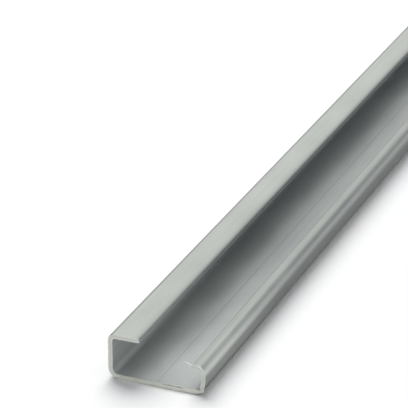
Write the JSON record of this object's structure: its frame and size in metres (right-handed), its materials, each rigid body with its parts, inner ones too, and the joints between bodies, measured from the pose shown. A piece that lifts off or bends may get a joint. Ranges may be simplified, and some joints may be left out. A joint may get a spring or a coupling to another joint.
{
  "type": "din rail",
  "caption": "Asymmetric G-profile mounting rail of zinc-plated steel strip, with one deep and one low hooked flange and a fine rolled line along its base.",
  "frame": {"origin": "middle of the base's underside, which lies on the panel, halfway along the rail", "axes": "+X across the rail from the deep flange to the low flange, +Y along the rail, +Z away from the panel"},
  "size_m": [0.032, 1, 0.015],
  "materials": {
    "zinc_plated_steel": "zinc-plated, satin, with faint streaks along the rolling direction"
  },
  "bodies": {
    "root": {"rail": "zinc_plated_steel"}
  },
  "joints": []
}
